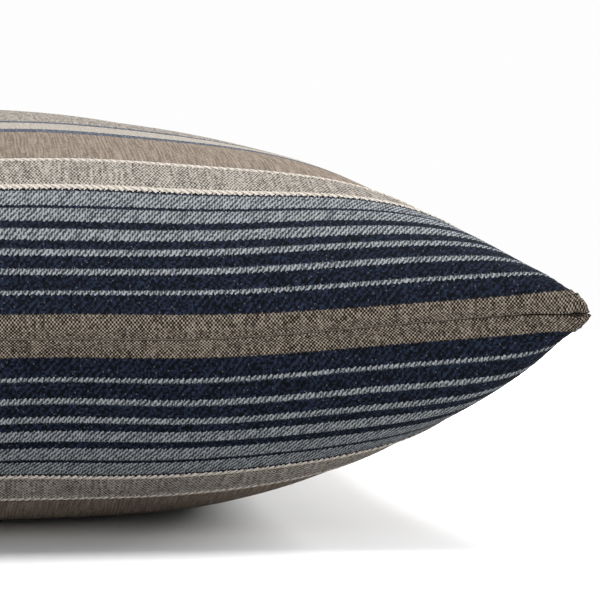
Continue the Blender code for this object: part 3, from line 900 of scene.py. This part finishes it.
# Middle and half size of a turn, into the seam and up from the seam's middle.
COIL_DEPTH, COIL_HALF_DEPTH = 0.45 * MM, 0.40 * MM
COIL_LEVEL, COIL_HALF_LEVEL = 0.62 * MM, 0.58 * MM


class PILLOW_OT_zip_coils(bpy.types.Operator):
    """Wind the two interlocking nylon coils along the seam"""
    bl_idname = "pillow.zip_coils"
    bl_label = "Zip coils"

    def execute(self, context):
        shape, _, trim, _ = settings()
        nylon = Paint("zip_coil", roughness=0.42)
        place = nylon.node("ShaderNodeTexCoord", {}, output=3)
        nylon.tone(trim.coil, 0.8 + nylon.noise(place, 400.0) * 0.4)
        low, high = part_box("zipper_coil_upper")
        half = (high.x - low.x) / 2
        steps = int(2 * half / trim.coil_pitch) * COIL_STEPS
        for name, node, side in (("coil_upper", "zipper_coil_upper", 1),
                                 ("coil_lower", "zipper_coil_lower", -1)):
            points = []
            for k in range(steps + 1):
                turn = math.tau * k / COIL_STEPS
                x = -half + 2 * half * k / steps + 0.25 * side * trim.coil_pitch
                point, _, outward, up = zip_frame(shape, min(max(x, -half), half))
                depth = COIL_DEPTH + COIL_HALF_DEPTH * math.cos(turn)
                level = COIL_LEVEL + COIL_HALF_LEVEL * math.sin(turn)
                points.append(point - depth * outward + side * level * up)
            coil = round_wire(name, points, trim.coil_wire)
            dress(coil, nylon.material)
            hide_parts(node)
            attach(coil, "root")
        return {"FINISHED"}


def start_box(name, low, high):
    """A cube primitive between two corners in millimetres, alone selected and active."""
    low, high = Vector(low) * MM, Vector(high) * MM
    bpy.ops.object.select_all(action="DESELECT")
    bpy.ops.mesh.primitive_cube_add(size=1.0, location=(high + low) / 2)
    made = bpy.context.object
    made.name = name
    made.scale = high - low
    bpy.ops.object.transform_apply(location=True, rotation=False, scale=True)
    return made


def apply_modifier(target, kind, **values):
    bpy.context.view_layer.objects.active = target
    step = target.modifiers.new(kind, kind)
    for key, value in values.items():
        setattr(step, key, value)
    bpy.ops.object.modifier_apply(modifier=step.name)


def merge(name, parts):
    """Join several modelled pieces into one object."""
    pick(parts)
    bpy.ops.object.join()
    parts[0].name = name
    return parts[0]


def carry_to(target, place):
    """Put a piece modelled round the origin in its place, in its mesh."""
    target.data.transform(place)
    target.data.update()


def slider_place(shape):
    """The slider's own frame at rest: local x along the zip, y outward, z up."""
    low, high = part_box("zipper_slider")
    point, along, outward, up = zip_frame(shape, (low.x + high.x) / 2)
    return Matrix.Translation(point) @ Matrix((along, outward, up)).transposed().to_4x4()


PIN_OUT = 3.7 * MM         # from the fold line of the seam out to the slider's pin
SMOOTH_BELOW = math.radians(35)


def narrow_end(target, beyond, factor):
    """In edit mode, select the faces past a place along X, and scale them in height."""
    pick([target])
    bpy.ops.object.mode_set(mode="EDIT")
    built = bmesh.from_edit_mesh(target.data)
    for vert in built.verts:
        vert.select_set(vert.co.x > beyond)
    built.select_flush(True)
    bmesh.update_edit_mesh(target.data)
    bpy.ops.transform.resize(value=(1, 1, factor), center_override=(0, 0, 0))
    bpy.ops.object.mode_set(mode="OBJECT")


class PILLOW_OT_zip_slider(bpy.types.Operator):
    """Model the zip's slider with its ears and pin"""
    bl_idname = "pillow.zip_slider"
    bl_label = "Zip slider"

    def execute(self, context):
        shape, _, trim, _ = settings()
        plate = start_box("plate", (-4.5, 0.6, -2.2), (4.5, 2.2, 2.2))
        apply_modifier(plate, "SUBSURF", levels=2, render_levels=2, subdivision_type="SIMPLE")
        narrow_end(plate, 2 * MM, 0.72)
        apply_modifier(plate, "BEVEL", width=0.45 * MM, segments=3, limit_method="ANGLE")
        parts = [plate]
        for side in (-1, 1):
            wall = sorted((side * 1.7, side * 2.2))
            flange = start_box("flange", (-4.4, -0.8, wall[0]), (4.0, 1.8, wall[1]))
            apply_modifier(flange, "BEVEL", width=0.12 * MM, segments=2)
            ear_z = sorted((side * 1.4, side * 2.1))
            ear = start_box("ear", (-1.2, 1.8, ear_z[0]), (1.2, 4.5, ear_z[1]))
            apply_modifier(ear, "BEVEL", width=0.3 * MM, segments=3)
            parts += [flange, ear]
        bpy.ops.mesh.primitive_cylinder_add(vertices=24, radius=0.4 * MM, depth=3.4 * MM,
                                            location=(0, PIN_OUT, 0))
        pin = context.object
        bpy.ops.object.transform_apply(location=True, rotation=True, scale=True)
        parts.append(pin)
        slider = merge("slider", parts)
        carry_to(slider, slider_place(shape))
        bpy.ops.object.shade_smooth_by_angle(angle=SMOOTH_BELOW)
        dress(slider, enamelled("slider_enamel", trim.enamel, 0.85, 0.32))
        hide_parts("zipper_slider")
        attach(slider, "zip_slider")
        return {"FINISHED"}


class PILLOW_OT_zip_pull(bpy.types.Operator):
    """Model the pull that swings on the slider's pin"""
    bl_idname = "pillow.zip_pull"
    bl_label = "Zip pull"

    def execute(self, context):
        shape, _, trim, _ = settings()
        bpy.ops.object.select_all(action="DESELECT")
        bpy.ops.mesh.primitive_torus_add(major_segments=32, minor_segments=12,
                                         major_radius=0.95 * MM, minor_radius=0.3 * MM)
        eye = context.object
        eye.scale = (1, 1, 3.4)
        bpy.ops.object.transform_apply(location=True, rotation=False, scale=True)
        neck = start_box("neck", (1.0, -0.4, -1.0), (8.2, 0.5, 1.0))
        grip = start_box("grip", (7.8, -0.5, -2.8), (22, 0.7, 2.8))
        apply_modifier(neck, "BEVEL", width=0.3 * MM, segments=3)
        apply_modifier(grip, "BEVEL", width=0.5 * MM, segments=3)
        pull = merge("pull", [eye, neck, grip])
        carry_to(pull, slider_place(shape) @ Matrix.Translation((0, PIN_OUT, 0)))
        bpy.ops.object.shade_smooth_by_angle(angle=SMOOTH_BELOW)
        dress(pull, enamelled("pull_enamel", trim.enamel, 0.85, 0.3))
        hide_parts("zipper_pull")
        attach(pull, "zip_pull")
        return {"FINISHED"}


# ---- Studio ----
FLOOR_SIZE, FLOOR_AT = 3.0, (0, -0.5, -0.5 * MM)
LAMPS_AIM = Vector((0, 0, 0.05))


class PILLOW_OT_stage(bpy.types.Operator):
    """Lay a pale floor, hang soft lights and set the camera"""
    bl_idname = "pillow.stage"
    bl_label = "Stage"

    def execute(self, context):
        stage = context.scene.pillow_stage
        bpy.ops.object.select_all(action="DESELECT")
        bpy.ops.mesh.primitive_plane_add(size=FLOOR_SIZE, location=FLOOR_AT)
        floor = context.object
        floor.name = "floor"
        ground = Paint("pale_floor", roughness=0.9)
        place = ground.node("ShaderNodeTexCoord", {}, output=3)
        ground.tone(stage.floor, 0.995 + ground.noise(place, 3.0) * 0.01)
        floor.data.materials.append(ground.material)

        world = bpy.data.worlds.new("studio")
        world.use_nodes = True
        world.node_tree.nodes["Background"].inputs["Color"].default_value = (*stage.backdrop, 1.0)
        context.scene.world = world
        context.scene.view_settings.view_transform = "Standard"

        for name, place, size, power in (
                ("overhead_softbox", (0.0, 0.3, 2.0), (2.0, 2.0), stage.key_power),
                ("low_side_softbox", (1.7, 0.5, 0.8), (0.8, 0.8), stage.side_power),
                ("front_softbox", (-0.3, -2.2, 0.16), (0.9, 0.3), stage.front_power)):
            bpy.ops.object.light_add(type="AREA", location=place)
            lamp = context.object
            lamp.name = name
            lamp.data.shape = "RECTANGLE"
            lamp.data.size, lamp.data.size_y = size
            lamp.data.energy = power
            lamp.rotation_euler = (LAMPS_AIM - lamp.location).to_track_quat("-Z", "Y").to_euler()
            if name == "front_softbox":
                # Flagged off the floor, so that it leaves the contact shadow alone.
                flagged = bpy.data.collections.new("flagged_from_front")
                flagged.objects.link(floor)
                lamp.light_linking.receiver_collection = flagged
                flagged.collection_objects[0].light_linking.link_state = "EXCLUDE"

        bpy.ops.object.camera_add(location=(stage.aside, -stage.back, stage.height))
        camera = context.object
        camera.rotation_euler = (math.pi / 2 - stage.tilt, 0, -stage.heading)
        camera.data.sensor_width = 36
        camera.data.lens = stage.lens
        context.scene.camera = camera
        return {"FINISHED"}


class PILLOW_PT_panel(bpy.types.Panel):
    """Lists the pillow's pieces in the sidebar"""
    bl_label = "Striped Throw Pillow"
    bl_space_type = "VIEW_3D"
    bl_region_type = "UI"
    bl_category = "Pillow"

    def draw(self, context):
        for operator in OPERATORS:
            self.layout.operator(operator.bl_idname)


GROUPS = {"pillow_shape": PillowShape, "pillow_cloth": PillowCloth, "pillow_trim": PillowTrim,
          "pillow_stage": PillowStage}
OPERATORS = [PILLOW_OT_stage, PILLOW_OT_cover, PILLOW_OT_insert, PILLOW_OT_sewing,
             PILLOW_OT_zip_coils, PILLOW_OT_zip_slider, PILLOW_OT_zip_pull]


def register():
    for kind in [*GROUPS.values(), *OPERATORS, PILLOW_PT_panel]:
        bpy.utils.register_class(kind)
    for name, group in GROUPS.items():
        setattr(bpy.types.Scene, name, bpy.props.PointerProperty(type=group))


def unregister():
    for name in GROUPS:
        delattr(bpy.types.Scene, name)
    for kind in reversed([*GROUPS.values(), *OPERATORS, PILLOW_PT_panel]):
        bpy.utils.unregister_class(kind)


def main():
    register()
    bpy.ops.pillow.stage()
    bpy.ops.pillow.cover()
    bpy.ops.pillow.insert()
    bpy.ops.pillow.sewing()
    bpy.ops.pillow.zip_coils()
    bpy.ops.pillow.zip_slider()
    bpy.ops.pillow.zip_pull()


if __name__ == "__main__":
    main()
